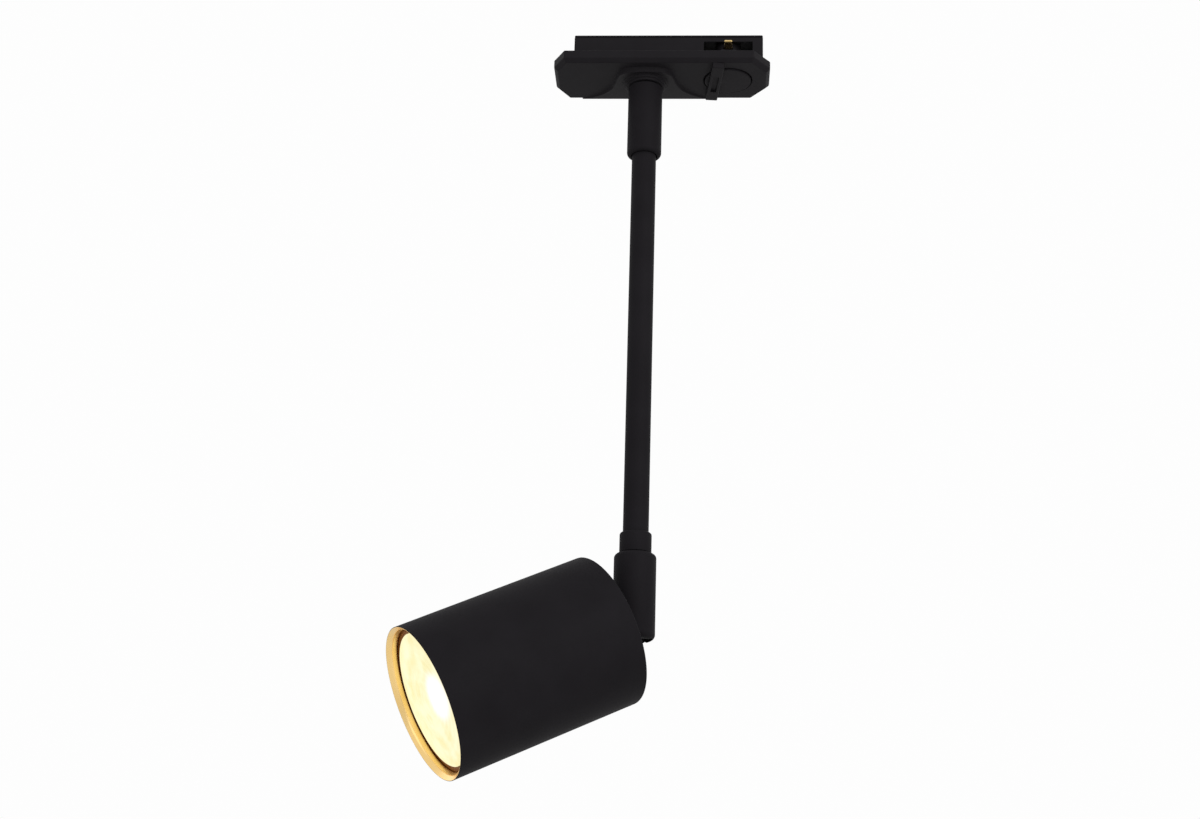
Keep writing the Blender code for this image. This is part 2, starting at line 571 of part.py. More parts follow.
# ---------------------------------------------------------------- head
def tilt_bracket():
    """A round foot behind the head with two ears that hang on the tilt pins."""
    foot_front = HEAD_BACK - GAP
    foot_back = foot_front - FOOT_THICKNESS
    edge, beyond = 0.5, EAR_RADIUS + 3
    bracket = turned("tilt_bracket", [
        (0, foot_front), (FOOT_RADIUS, foot_front), (FOOT_RADIUS, foot_back + edge),
        (FOOT_RADIUS - edge, foot_back), (0, foot_back)], BLACK, tilt_frame)
    block = box("ear_block", (-EAR_RADIUS, -EAR_OUTER, 0), (EAR_RADIUS, EAR_OUTER, foot_back + edge),
                parent=tilt_frame)
    eye = lay_along(cylinder("ear_eye", EAR_RADIUS, -EAR_OUTER, EAR_OUTER, parent=tilt_frame, sides=32),
                    "Y", (0, 0, 0))
    mouth = box("ear_mouth", (-beyond, -EAR_INNER, -beyond), (beyond, EAR_INNER, foot_back - 2.2),
                parent=tilt_frame)
    pins = lay_along(cylinder("ear_bore", PIN_RADIUS + GAP, -beyond, beyond, parent=tilt_frame, sides=24),
                     "Y", (0, 0, 0))
    lead_hole = cylinder("foot_bore", 1.9, foot_back - 3, foot_front + 1, parent=tilt_frame, sides=16)
    join(bracket, block, eye)
    cut(bracket, mouth, pins, lead_hole)
    for y in BRACKET_SCREW_Y:
        cut(bracket, cylinder("foot_thread", 1.3, foot_front - SCREW_BITE, foot_front + 1, parent=tilt_frame,
                              at=(0, y), sides=16))


def head_shell():
    """The cup of the head: a round tube with its back plate in one piece, chamfered inside its sharp rim."""
    inner, back_in = HEAD_RADIUS - HEAD_WALL, HEAD_BACK + BACK_PLATE
    inner_fillet = 2.0
    shell = turned("head_shell", [(inner, HEAD_RIM - HEAD_WALL + RIM_EDGE), (HEAD_RADIUS - RIM_EDGE, HEAD_RIM),
                                  (HEAD_RADIUS, HEAD_RIM - RIM_EDGE)]
                   + arc(HEAD_RADIUS - BACK_EDGE, HEAD_BACK + BACK_EDGE, BACK_EDGE, 0, -90, 3)
                   + [(LEAD_HOLE, HEAD_BACK), (LEAD_HOLE, back_in)]
                   + arc(inner - inner_fillet, back_in + inner_fillet, inner_fillet, -90, 0, 3),
                   BLACK, tilt_frame, ring=True, sides=56)
    for y in BRACKET_SCREW_Y:
        cut(shell, cylinder("back_hole", 1.6, HEAD_BACK - 1, back_in + 1, parent=tilt_frame, at=(0, y),
                            sides=16))


def head_rings():
    """The gold trim ring, flared to lie in the shell's chamfer, and the bronze ring that centres the lamp."""
    outer = HEAD_RADIUS - HEAD_WALL - GAP
    lip = HEAD_RADIUS - RIM_EDGE - GAP * math.sqrt(2)
    ring_back = HEAD_RIM - RING_DEPTH
    flare = lip - RIM_EDGE - RING_BORE
    turned("trim_ring", [(lip - RIM_EDGE, HEAD_RIM), (lip, HEAD_RIM), (outer, HEAD_RIM - (lip - outer)),
                         (outer, ring_back), (RING_BORE, ring_back), (RING_BORE, HEAD_RIM - flare)],
           GOLD, tilt_frame, ring=True, sides=48)
    seat_front, seat_bore = ring_back - GAP, LENS_RADIUS + GAP
    turned("centring_ring", [(seat_bore, seat_front), (outer, seat_front), (outer, seat_front - SEAT_DEPTH),
                             (seat_bore, seat_front - SEAT_DEPTH)], BRONZE, tilt_frame, ring=True, sides=48)


def holder():
    """The lampholder on its strap, and the screws and leads behind it."""
    base, deck = HEAD_BACK + BACK_PLATE + GAP, HOLDER_BACK - GAP
    sheet, half, foot_in = 1.0, 12.0, 3.6
    strap_outline = [
        (-half, deck), (-half, base), (-foot_in, base), (-foot_in, base + sheet),
        (-half + sheet, base + sheet), (-half + sheet, deck - sheet), (half - sheet, deck - sheet),
        (half - sheet, base + sheet), (foot_in, base + sheet), (foot_in, base), (half, base), (half, deck)]
    strap = slab("holder_strap", strap_outline, -4.5, 4.5, STEEL, tilt_frame)
    strap.rotation_euler = (math.pi / 2, 0, math.pi / 2)
    cut(strap, cylinder("strap_bore", 3.2, deck - sheet - 1, deck + 1, parent=tilt_frame, sides=20))
    for y in BRACKET_SCREW_Y:
        cut(strap, cylinder("strap_foot_hole", 1.6, base - 1, base + sheet + 1, parent=tilt_frame, at=(0, y),
                            sides=16))
    for y in HOLDER_SCREW_Y:
        cut(strap, cylinder("strap_deck_hole", 1.4, deck - sheet - 1, deck + 1, parent=tilt_frame, at=(0, y),
                            sides=16))
    head_low, head_edge, head_high = base + sheet + GAP, base + 2.4, base + 3.0
    tip = HEAD_BACK - SCREW_BITE
    for i, y in enumerate(BRACKET_SCREW_Y):
        turned(f"bracket_screw_{i + 1}", [
            (0, head_high), (1.9, head_high), (2.4, head_edge), (2.4, head_low), (1.0, head_low), (1.0, tip),
            (0, tip)], STEEL, tilt_frame, at=(0, y), sides=16)

    edge, slot_depth, thread_depth = 0.8, 6.8, 5.0
    ceramic = turned("lampholder", [(0, HOLDER_FRONT), (HOLDER_RADIUS - edge, HOLDER_FRONT),
                                    (HOLDER_RADIUS, HOLDER_FRONT - edge), (HOLDER_RADIUS, HOLDER_BACK),
                                    (0, HOLDER_BACK)], CERAMIC, tilt_frame, sides=32)
    for start in (0.0, 180.0):
        cut(ceramic, slab("pin_slot", pin_slot_outline(start), HOLDER_FRONT - slot_depth, LAMP_BASE,
                          parent=tilt_frame))
    screw_low, screw_high = deck - sheet - 1.4, deck - sheet - GAP
    for i, y in enumerate(HOLDER_SCREW_Y):
        cut(ceramic, cylinder("holder_thread", 1.4, HOLDER_BACK - 1, HOLDER_BACK + thread_depth,
                              parent=tilt_frame, at=(0, y), sides=16))
        turned(f"holder_screw_{i + 1}", [
            (0, HOLDER_BACK + thread_depth - 0.5), (1.0, HOLDER_BACK + thread_depth - 0.5), (1.0, screw_high),
            (2.0, screw_high), (2.0, screw_low), (0, screw_low)], STEEL, tilt_frame, at=(0, y), sides=16)
    bush_out, bush_bore, bush_top, bush_bottom = LEAD_HOLE - GAP, 2.3, base + 0.9, HEAD_BACK + 0.2
    turned("lead_bush", [(bush_out, bush_top), (bush_out, bush_bottom), (bush_bore, bush_bottom),
                         (bush_bore, bush_top)], WHITE, tilt_frame, ring=True, sides=24)
    for name, side, finish in (("head_live_lead", 1, BROWN), ("head_neutral_lead", -1, BLUE)):
        wire(name, [(0, side * 0.95, HEAD_BACK - 3.9), (0, side * 0.95, HEAD_BACK - 0.5),
                    (side * 0.6, side, HEAD_BACK + 3.5), (side * 1.6, side * 0.6, HEAD_BACK + 6.5),
                    (side * 1.6, side * 0.6, HOLDER_BACK - 0.4)], 0.6, finish, tilt_frame)


def pin_slot_outline(start):
    """The curved slot that one lamp pin enters and turns in."""
    half = 2.7
    reach = math.degrees(math.asin(half / PIN_CIRCLE))
    angles = [math.radians(start - reach + (LAMP_TURN + 2 * reach) * i / 10) for i in range(11)]
    outer = [((PIN_CIRCLE + half) * math.cos(a), (PIN_CIRCLE + half) * math.sin(a)) for a in angles]
    inner = [((PIN_CIRCLE - half) * math.cos(a), (PIN_CIRCLE - half) * math.sin(a)) for a in reversed(angles)]
    return outer + inner


# ---------------------------------------------------------------- lamp
def lamp():
    """The GU10 lamp: twist-lock base, body, LED board and front lens."""
    rim = LENS_FACE - 1.9
    neck = rim - 36.0
    bore, pin_hole, floor = LENS_RADIUS - 1.3, 1.6, LAMP_BASE + 2.0
    body = turned("lamp_body", [
        (bore, rim), (LENS_RADIUS, rim), (LENS_RADIUS, rim - 6.0), (22.5, rim - 16.0), (17.5, rim - 30.0),
        (15.0, neck), (14.4, LAMP_BASE + 3.0), (13.6, LAMP_BASE), (pin_hole, LAMP_BASE), (pin_hole, floor),
        (12.4, floor), (13.0, neck), (15.6, rim - 29.5), (20.8, rim - 16.0), (22.0, rim - 11.0),
        (bore, rim - 5.6)], WHITE, lamp_frame, ring=True, sides=36)
    crown, side = LENS_FACE + LENS_DOME, LENS_RADIUS - 0.3
    dome = [(side * i / 4, LENS_FACE + LENS_DOME * (1 - (i / 4) ** 2)) for i in range(1, 5)]
    turned("lamp_lens", [(0, crown)] + dome + [(LENS_RADIUS, LENS_FACE - 0.3), (LENS_RADIUS, rim + GAP),
                                               (0, rim + GAP)], LENS, lamp_frame, sides=48)
    board_top, board_radius, board_sheet = rim - 9.6, 20.6, 1.6
    turned("led_board", [(0, board_top), (board_radius, board_top), (board_radius, board_top - board_sheet),
                         (0, board_top - board_sheet)], BOARD, lamp_frame)
    chip = board_top + GAP
    turned("led_emitter", [(0, chip + 1.3), (5.4, chip + 1.1), (6.2, chip), (0, chip)], LENS, lamp_frame,
           sides=20)
    pin_radius, button_radius = 1.5, 2.4
    button_top, button_bottom, pin_top = LAMP_BASE - 5.0, LAMP_BASE - 7.0, LAMP_BASE + 5.0
    for i, side in enumerate((1, -1)):
        spot = (side * PIN_CIRCLE, 0.0)
        cut(body, cylinder("pin_seat", pin_radius + GAP, LAMP_BASE - 1, floor + 1, parent=lamp_frame, at=spot,
                           sides=16))
        turned(f"lamp_pin_{i + 1}", [
            (0, pin_top), (pin_radius, pin_top), (pin_radius, button_top + 0.4), (button_radius, button_top),
            (button_radius, button_bottom), (0, button_bottom)], STEEL, lamp_frame, at=spot, sides=20)


adapter_cover()
insert_body()
insert_cap()
adapter_metal()
adapter_leads()
lock_rotor()
stem()
knuckle()
tilt_bracket()
head_shell()
head_rings()
holder()
lamp()
bpy.context.view_layer.update()
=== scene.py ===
"""Looks for the track spotlight: fine meshes, procedural materials, studio and camera, around the CAD frame.

Lengths in this script are millimetres, and MM turns them into metres. The studio's floor, lights and
camera are in metres, and so are names that end in _m.
"""
import json
import math

import bmesh
import bpy
import numpy as np
from mathutils import Matrix, Vector

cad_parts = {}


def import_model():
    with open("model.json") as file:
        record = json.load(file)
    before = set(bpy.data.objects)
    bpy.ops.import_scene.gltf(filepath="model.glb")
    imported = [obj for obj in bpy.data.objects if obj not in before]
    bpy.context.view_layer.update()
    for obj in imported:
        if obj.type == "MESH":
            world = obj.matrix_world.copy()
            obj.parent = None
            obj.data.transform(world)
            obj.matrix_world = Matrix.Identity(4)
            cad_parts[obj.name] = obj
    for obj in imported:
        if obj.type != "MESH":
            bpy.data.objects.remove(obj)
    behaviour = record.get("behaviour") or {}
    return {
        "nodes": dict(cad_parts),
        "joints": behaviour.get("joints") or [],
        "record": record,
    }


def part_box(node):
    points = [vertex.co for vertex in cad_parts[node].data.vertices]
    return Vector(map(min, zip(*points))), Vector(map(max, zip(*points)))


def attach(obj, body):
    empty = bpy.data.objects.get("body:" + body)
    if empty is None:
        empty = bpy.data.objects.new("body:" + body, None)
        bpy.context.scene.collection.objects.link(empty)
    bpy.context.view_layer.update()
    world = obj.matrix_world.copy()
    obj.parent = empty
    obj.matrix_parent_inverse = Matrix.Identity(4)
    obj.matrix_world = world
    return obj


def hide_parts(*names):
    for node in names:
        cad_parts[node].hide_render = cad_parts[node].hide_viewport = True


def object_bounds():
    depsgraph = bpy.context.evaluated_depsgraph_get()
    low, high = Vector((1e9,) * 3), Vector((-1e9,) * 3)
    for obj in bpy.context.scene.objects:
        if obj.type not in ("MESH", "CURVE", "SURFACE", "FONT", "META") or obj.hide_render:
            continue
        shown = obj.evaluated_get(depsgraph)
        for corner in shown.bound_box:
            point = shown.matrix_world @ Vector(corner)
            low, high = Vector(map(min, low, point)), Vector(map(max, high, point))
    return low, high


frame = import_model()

cad_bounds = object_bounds()
MM = 0.001
nodes = frame["nodes"]
joints = {joint["name"]: joint for joint in frame["joints"]}


# ---------------------------------------------------------------- measuring the frame
def spread(node, origin=Vector((0, 0, 0)), axis=Vector((0, 0, 1))):
    """A node's lowest and highest place along an axis, and its greatest radius about it, in millimetres."""
    away = np.array([vertex.co[:] for vertex in nodes[node].data.vertices]) - np.array(origin)
    along = away @ np.array(axis)
    radius = np.linalg.norm(away - np.outer(along, np.array(axis)), axis=1)
    return along.min() / MM, along.max() / MM, radius.max() / MM


pivot = Vector(joints["tilt"]["pos_m"])
tilt_axis = Vector(joints["tilt"]["axis"]).normalized()
head_axis = Vector(joints["lamp_twist"]["axis"]).normalized()
lock_centre = Vector(joints["lock_turn"]["pos_m"])


def frame_matrix(origin, z_axis, y_axis):
    """A placement whose local Z and Y lie along the given directions."""
    x_axis = y_axis.cross(z_axis).normalized()
    basis = Matrix((x_axis, z_axis.cross(x_axis), z_axis)).transposed()
    return Matrix.Translation(origin) @ basis.to_4x4()


STEM = Matrix.Identity(4)
LOCK = Matrix.Translation(lock_centre)
KNUCKLE = frame_matrix(Vector((0, 0, 0)), Vector((0, 0, 1)), tilt_axis)
HEAD = frame_matrix(pivot, head_axis, tilt_axis)

HEAD_BACK, SHELL_RIM, HEAD_RADIUS = spread("head_shell", pivot, head_axis)
LENS_BACK, LENS_TOP, LENS_RADIUS = spread("lamp_lens", pivot, head_axis)
LAMP_BASE, LAMP_RIM, LAMP_RADIUS = spread("lamp_body", pivot, head_axis)
RING_BACK, RING_FRONT = spread("trim_ring", pivot, head_axis)[:2]
SEAT_BACK, SEAT_FRONT, SEAT_RADIUS = spread("centring_ring", pivot, head_axis)
EAR_END, FOOT_FRONT, FOOT_RADIUS = spread("tilt_bracket", pivot, head_axis)
COLLAR_BOTTOM, COLLAR_TOP, COLLAR_RADIUS = spread("stem_collar")
TUBE_BOTTOM, TUBE_TOP, TUBE_RADIUS = spread("stem_tube")
SLEEVE_BOTTOM, SLEEVE_TOP, SLEEVE_RADIUS = spread("swivel_sleeve")
KNUCKLE_BOTTOM, KNUCKLE_TOP, KNUCKLE_RADIUS = spread("knuckle_body")
CLIP_LOW, CLIP_HIGH, CLIP_RADIUS = spread("swivel_clip")
COVER_LOW, COVER_HIGH = (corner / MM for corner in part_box("adapter_cover"))
PIVOT_Z = pivot.z / MM


# ---------------------------------------------------------------- materials
def material_nodes(name):
    material = bpy.data.materials.new(name)
    material.use_nodes = True
    tree = material.node_tree
    return material, tree, tree.nodes["Principled BSDF"]


def link(tree, source, target):
    tree.links.new(source, target)


def texture_point(tree, scale=(1, 1, 1)):
    """The piece's own coordinates, stretched by scale."""
    point = tree.nodes.new("ShaderNodeTexCoord")
    mapping = tree.nodes.new("ShaderNodeMapping")
    mapping.inputs["Scale"].default_value = scale
    link(tree, point.outputs["Object"], mapping.inputs["Vector"])
    return mapping.outputs["Vector"]


def noise(tree, grain_mm, detail, stretch=(1, 1, 1)):
    """Noise whose features are about grain_mm across."""
    texture = tree.nodes.new("ShaderNodeTexNoise")
    texture.inputs["Scale"].default_value = 1 / (grain_mm * MM)
    texture.inputs["Detail"].default_value = detail
    link(tree, texture_point(tree, stretch), texture.inputs["Vector"])
    return texture.outputs["Fac"]


def blend_colours(tree, factor, low, high, low_at=0.3, high_at=0.7):
    ramp = tree.nodes.new("ShaderNodeValToRGB")
    ramp.color_ramp.elements[0].position = low_at
    ramp.color_ramp.elements[0].color = (*low, 1)
    ramp.color_ramp.elements[1].position = high_at
    ramp.color_ramp.elements[1].color = (*high, 1)
    link(tree, factor, ramp.inputs["Fac"])
    return ramp.outputs["Color"]


def between(tree, factor, low, high):
    """A value that follows a 0 to 1 factor from low to high."""
    reach = tree.nodes.new("ShaderNodeMapRange")
    reach.inputs["From Min"].default_value = 0.25
    reach.inputs["From Max"].default_value = 0.75
    reach.inputs["To Min"].default_value = low
    reach.inputs["To Max"].default_value = high
    link(tree, factor, reach.inputs["Value"])
    return reach.outputs["Result"]


def bump(tree, shader, height, depth_mm, strength):
    node = tree.nodes.new("ShaderNodeBump")
    node.inputs["Strength"].default_value = strength
    node.inputs["Distance"].default_value = depth_mm * MM
    link(tree, height, node.inputs["Height"])
    link(tree, node.outputs["Normal"], shader.inputs["Normal"])


def surface(name, low, high, patch_mm, roughness, grain_mm, relief_mm, metallic=0.0, specular=0.5,
            stretch=(1, 1, 1)):
    """A finish whose colour drifts over patch_mm, with a grain of grain_mm in its roughness and relief."""
    material, tree, shader = material_nodes(name)
    patches = noise(tree, patch_mm, 4.0)
    grain = noise(tree, grain_mm, 2.0, stretch)
    link(tree, blend_colours(tree, patches, low, high), shader.inputs["Base Color"])
    link(tree, between(tree, grain, *roughness), shader.inputs["Roughness"])
    shader.inputs["Metallic"].default_value = metallic
    shader.inputs["Specular IOR Level"].default_value = specular
    bump(tree, shader, grain, relief_mm, 0.6)
    return material


HOT_SPOT = (0.5, 11.0)             # on the lens, across the tilt axis and along it
HOT_CORE_RADIUS = 5
HOT_EDGE_RADIUS = 12
LENS_GLOW = 1.0


def lens_material():
    """The lit lens: warm diffusing plastic, white over the emitter, with faint rings and clouds."""
    material, tree, shader = material_nodes("lit_lens")
    point = tree.nodes.new("ShaderNodeTexCoord").outputs["Object"]
    away = tree.nodes.new("ShaderNodeVectorMath")
    away.operation = "DISTANCE"
    link(tree, point, away.inputs[0])
    away.inputs[1].default_value = (HOT_SPOT[0] * MM, HOT_SPOT[1] * MM, LENS_TOP * MM)
    heat = tree.nodes.new("ShaderNodeMapRange")
    heat.interpolation_type = "SMOOTHERSTEP"
    heat.inputs["From Min"].default_value = HOT_CORE_RADIUS * MM
    heat.inputs["From Max"].default_value = HOT_EDGE_RADIUS * MM
    heat.inputs["To Min"].default_value = 1.0
    heat.inputs["To Max"].default_value = 0.0
    link(tree, away.outputs["Value"], heat.inputs["Value"])
    rings = tree.nodes.new("ShaderNodeTexWave")
    rings.wave_type = "RINGS"
    rings.rings_direction = "Z"
    rings.inputs["Scale"].default_value = 40.0
    rings.inputs["Distortion"].default_value = 2.5
    rings.inputs["Detail Scale"].default_value = 60.0
    link(tree, point, rings.inputs["Vector"])
    cloud = noise(tree, 7.0, 3.0)
    pale = blend_colours(tree, cloud, (0.88, 0.80, 0.41), (0.955, 0.895, 0.57), 0.36, 0.60)
    ringed = mix_colours(tree, rings.outputs["Fac"], pale, (0.97, 0.93, 0.66), 0.35)
    glow = mix_colours(tree, heat.outputs["Result"], ringed, (1.0, 1.0, 1.0), 1.0)
    link(tree, glow, shader.inputs["Emission Color"])
    shader.inputs["Emission Strength"].default_value = LENS_GLOW
    shader.inputs["Base Color"].default_value = (0.03, 0.028, 0.02, 1)
    shader.inputs["Roughness"].default_value = 0.25
    shader.inputs["Specular IOR Level"].default_value = 0.1
    bump(tree, shader, noise(tree, 0.8, 2.0), 0.02, 0.5)
    return material


def mix_colours(tree, factor, first, second, most):
    """A colour that goes from first to second as a factor goes from 0 to 1, and at most by the share most."""
    share = tree.nodes.new("ShaderNodeMath")
    share.operation = "MULTIPLY"
    share.inputs[1].default_value = most
    link(tree, factor, share.inputs[0])
    mix = tree.nodes.new("ShaderNodeMix")
    mix.data_type = "RGBA"
    link(tree, share.outputs["Value"], mix.inputs["Factor"])
    link(tree, first, mix.inputs["A"])
    mix.inputs["B"].default_value = (*second, 1)
    return mix.outputs["Result"]


MATERIALS = {
    "black_coat": surface("black_powder_coat", (0.0082, 0.0073, 0.0086), (0.0100, 0.0090, 0.0106), 14,
                          (0.58, 0.68), 0.7, 0.015, specular=0.04),
    "black_plastic": surface("black_moulding", (0.0082, 0.0072, 0.0086), (0.0098, 0.0088, 0.0104), 10,
                             (0.50, 0.60), 0.35, 0.015, specular=0.06),
    "gold_ring": surface("turned_gold", (0.93, 0.63, 0.24), (0.97, 0.69, 0.30), 12, (0.24, 0.30), 1.5, 0.002,
                         metallic=1.0),
    # bronze_ring: painted shade. This is gold darkened to brown for the seat that lies deep behind the trim
    # ring.
    "bronze_ring": surface("gold_in_painted_shade", (0.150, 0.042, 0.001), (0.200, 0.060, 0.002), 8,
                           (0.45, 0.55), 1.5, 0.004, metallic=0.3, specular=0.2),
    "steel": surface("zinc_plate", (0.50, 0.50, 0.52), (0.66, 0.66, 0.66), 3, (0.28, 0.44), 0.5, 0.01,
                     metallic=1.0),
    "brass": surface("brass_strip", (0.62, 0.43, 0.16), (0.78, 0.58, 0.26), 3, (0.22, 0.38), 0.4, 0.008,
                     metallic=1.0, stretch=(1, 0.1, 1)),
    "ceramic": surface("steatite", (0.74, 0.73, 0.69), (0.82, 0.81, 0.78), 2, (0.5, 0.7), 0.3, 0.03),
    "white_plastic": surface("white_moulding", (0.74, 0.74, 0.72), (0.82, 0.82, 0.80), 8,
                             (0.36, 0.48), 0.5, 0.012),
    "lens": lens_material(),
    "led_board": surface("solder_mask", (0.80, 0.80, 0.76), (0.88, 0.88, 0.84), 4, (0.3, 0.42), 0.6, 0.01),
    "cable": surface("cable_sheath", (0.66, 0.66, 0.63), (0.76, 0.76, 0.73), 6, (0.48, 0.62), 0.6, 0.02),
    "brown_lead": surface("brown_insulation", (0.12, 0.045, 0.02), (0.17, 0.06, 0.03), 4,
                          (0.4, 0.52), 0.4, 0.01),
    "blue_lead": surface("blue_insulation", (0.02, 0.07, 0.34), (0.03, 0.10, 0.42), 4,
                         (0.4, 0.52), 0.4, 0.01),
    "green_lead": surface("green_insulation", (0.10, 0.32, 0.04), (0.14, 0.38, 0.06), 4,
                          (0.4, 0.52), 0.4, 0.01),
}
slot_of = {part["node"]: part["material_slot"] for part in frame["record"]["subparts"]}
for node, thing in nodes.items():
    thing.data.materials.clear()
    thing.data.materials.append(MATERIALS[slot_of[node]])


# ---------------------------------------------------------------- mesh helpers
SHARP_ANGLE = math.radians(32)     # edges that turn more than this stay sharp in the shading


def rounded(points, steps=5):
    """A profile from (radius, z) or (radius, z, fillet) points, with an arc at each corner with a fillet."""
    result = []
    for i, point in enumerate(points):
        corner = Vector(point[:2])
        if len(point) < 3:
            result.append(corner)
            continue
        back = (Vector(points[i - 1][:2]) - corner).normalized()
        ahead = (Vector(points[(i + 1) % len(points)][:2]) - corner).normalized()
        half = back.angle(ahead) / 2
        reach = point[2] / math.tan(half)
        centre = corner + (back + ahead).normalized() * point[2] / math.sin(half)
        start, stop = corner + back * reach - centre, corner + ahead * reach - centre
        turn = start.angle_signed(stop)
        for k in range(steps + 1):
            result.append(centre + Matrix.Rotation(-turn * k / steps, 2) @ start)
    return result


def lathe(name, profile, sides=96, ring=False):
    """A mesh turned about local Z; a ring's profile closes on itself, others start and end on the axis."""
    bm = bmesh.new()
    loops = []
    for radius, z in profile:
        count = 1 if radius < 1e-6 else sides
        turns = [2 * math.pi * k / sides for k in range(count)]
        loops.append([bm.verts.new((radius * MM * math.cos(a), radius * MM * math.sin(a), z * MM))
                      for a in turns])
    pairs = list(zip(loops, loops[1:])) + ([(loops[-1], loops[0])] if ring else [])
    for upper, lower in pairs:
        for k in range(sides):
            ends = [upper[k % len(upper)], upper[(k + 1) % len(upper)],
                    lower[(k + 1) % len(lower)], lower[k % len(lower)]]
            corners = list(dict.fromkeys(ends))
            if len(corners) > 2:
                bm.faces.new(corners)
    return smooth_mesh(bm, name)


def smooth_mesh(bm, name):
    """Turn a working mesh into a shaded one, with its faces pointing out."""
    bmesh.ops.recalc_face_normals(bm, faces=bm.faces)
    mesh = bpy.data.meshes.new(name)
    bm.to_mesh(mesh)
    bm.free()
    mesh.shade_smooth()
    mesh.set_sharp_from_angle(angle=SHARP_ANGLE)
    return mesh


def block(name, low, high):
    """A box between two corners, to cut with."""
    bm = bmesh.new()
    bmesh.ops.create_cube(bm, size=MM)
    bmesh.ops.scale(bm, vec=[b - a for a, b in zip(low, high)], verts=bm.verts)
    bmesh.ops.translate(bm, vec=[(a + b) / 2 * MM for a, b in zip(low, high)], verts=bm.verts)
    return smooth_mesh(bm, name)


def rod(name, radius, low, high, axis="Z", at=(0, 0, 0), sides=40):
    """A cylinder along the Z or Y axis through a point, from low to high along it."""
    mesh = lathe(name, [(0, high), (radius, high), (radius, low), (0, low)], sides)
    if axis == "Y":
        mesh.transform(Matrix.Rotation(-math.pi / 2, 4, "X"))
    mesh.transform(Matrix.Translation([v * MM for v in at]))
    return mesh


def prism(name, outline, low, high):
    """A flat outline with thickness along Z."""
    bm = bmesh.new()
    face = bm.faces.new([bm.verts.new((x * MM, y * MM, low * MM)) for x, y in outline])
    grown = bmesh.ops.extrude_face_region(bm, geom=[face])
    moved = [part for part in grown["geom"] if isinstance(part, bmesh.types.BMVert)]
    bmesh.ops.translate(bm, vec=(0, 0, (high - low) * MM), verts=moved)
    return smooth_mesh(bm, name)


def add(mesh, body, material, matrix, stands_for):
    """Show a mesh as a piece of the object, in the place of the nodes that it stands for."""
    thing = bpy.data.objects.new(mesh.name, mesh)
    bpy.context.scene.collection.objects.link(thing)
    thing.matrix_world = matrix
    mesh.materials.clear()
    mesh.materials.append(MATERIALS[material])
    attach(thing, body)
    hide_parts(*stands_for)
    return thing


def carve(thing, tools, operation="DIFFERENCE"):
    """Cut meshes from a piece, or join them to it, and keep the result as its mesh."""
    helpers = []
    for mesh in tools:
        tool = bpy.data.objects.new(mesh.name, mesh)
        bpy.context.scene.collection.objects.link(tool)
        tool.matrix_world = thing.matrix_world
        step = thing.modifiers.new(mesh.name, "BOOLEAN")
        step.operation = operation
        step.solver = "EXACT"
        step.object = tool
        helpers.append(tool)
    settle(thing)
    for tool in helpers:
        bpy.data.objects.remove(tool, do_unlink=True)


def ease(thing, width, segments, angle=35.0):
    """Round a piece's edges."""
    step = thing.modifiers.new("eased_edges", "BEVEL")
    step.width = width * MM
    step.segments = segments
    step.limit_method = "ANGLE"
    step.angle_limit = math.radians(angle)
    step.use_clamp_overlap = True
    step.miter_outer = "MITER_ARC"
    settle(thing)


def settle(thing):
    """Apply a piece's modifiers to its mesh."""
    bpy.context.view_layer.update()
    graph = bpy.context.evaluated_depsgraph_get()
    mesh = bpy.data.meshes.new_from_object(thing.evaluated_get(graph))
    thing.modifiers.clear()
    thing.data = mesh
    mesh.shade_smooth()
    mesh.set_sharp_from_angle(angle=SHARP_ANGLE)


def loft(name, loops):
    """A closed skin over loops that have the same number of points, with a flat cap at each end."""
    bm = bmesh.new()
    rings = [[bm.verts.new([v * MM for v in point]) for point in loop] for loop in loops]
    for upper, lower in zip(rings, rings[1:]):
        for k in range(len(upper)):
            bm.faces.new([upper[k - 1], upper[k], lower[k], lower[k - 1]])
    bm.faces.new(rings[0])
    bm.faces.new(reversed(rings[-1]))
    return smooth_mesh(bm, name)


def inset(outline, distance):
    """A flat outline with every side moved inwards."""
    line = [Vector(point) for point in outline]
    moved = []
    for i, corner in enumerate(line):
        back = (corner - line[i - 1]).normalized()
        ahead = (line[(i + 1) % len(line)] - corner).normalized()
        first, second = Vector((-back.y, back.x)), Vector((-ahead.y, ahead.x))
        moved.append(tuple(corner + (first + second) * distance / (1 + first.dot(second))))
    return moved


def smooth_line(points, steps=8):
    """A curve through the points of an open line."""
    before = 2 * Vector(points[0]) - Vector(points[1])
    after = 2 * Vector(points[-1]) - Vector(points[-2])
    ends = [before, *map(Vector, points), after]
    result = []
    for a, b, c, d in zip(ends, ends[1:], ends[2:], ends[3:]):
        for k in range(steps):
            t = k / steps
            result.append(0.5 * (2 * b + (c - a) * t + (2 * a - 5 * b + 4 * c - d) * t ** 2
                                 + (3 * b - a - 3 * c + d) * t ** 3))
    return [*result, Vector(points[-1])]


def flat_shading(thing):
    """Keep broad flat faces flat beside their rounded edges."""
    step = thing.modifiers.new("flat_faces", "WEIGHTED_NORMAL")
    step.keep_sharp = True
    step.weight = 80


# ---------------------------------------------------------------- head
GAP = 0.3                          # between neighbouring pieces
TURNED_SIDES = 160                 # facets round the head
INNER_RADIUS = SEAT_RADIUS + GAP   # of the head's wall
INNER_CORNER = 2.0
BACK_PLATE = 2.0
BACK_EDGE = 0.5                    # radius of the head's rear edge
LEAD_HOLE_RADIUS = 3.4
KNIFE = 0.1                        # what is left of the wall's thickness at the rim
RING_BORE_RADIUS = 27.4
FLARE_DEPTH = 1.5
FLARE_CORNER = 1.6


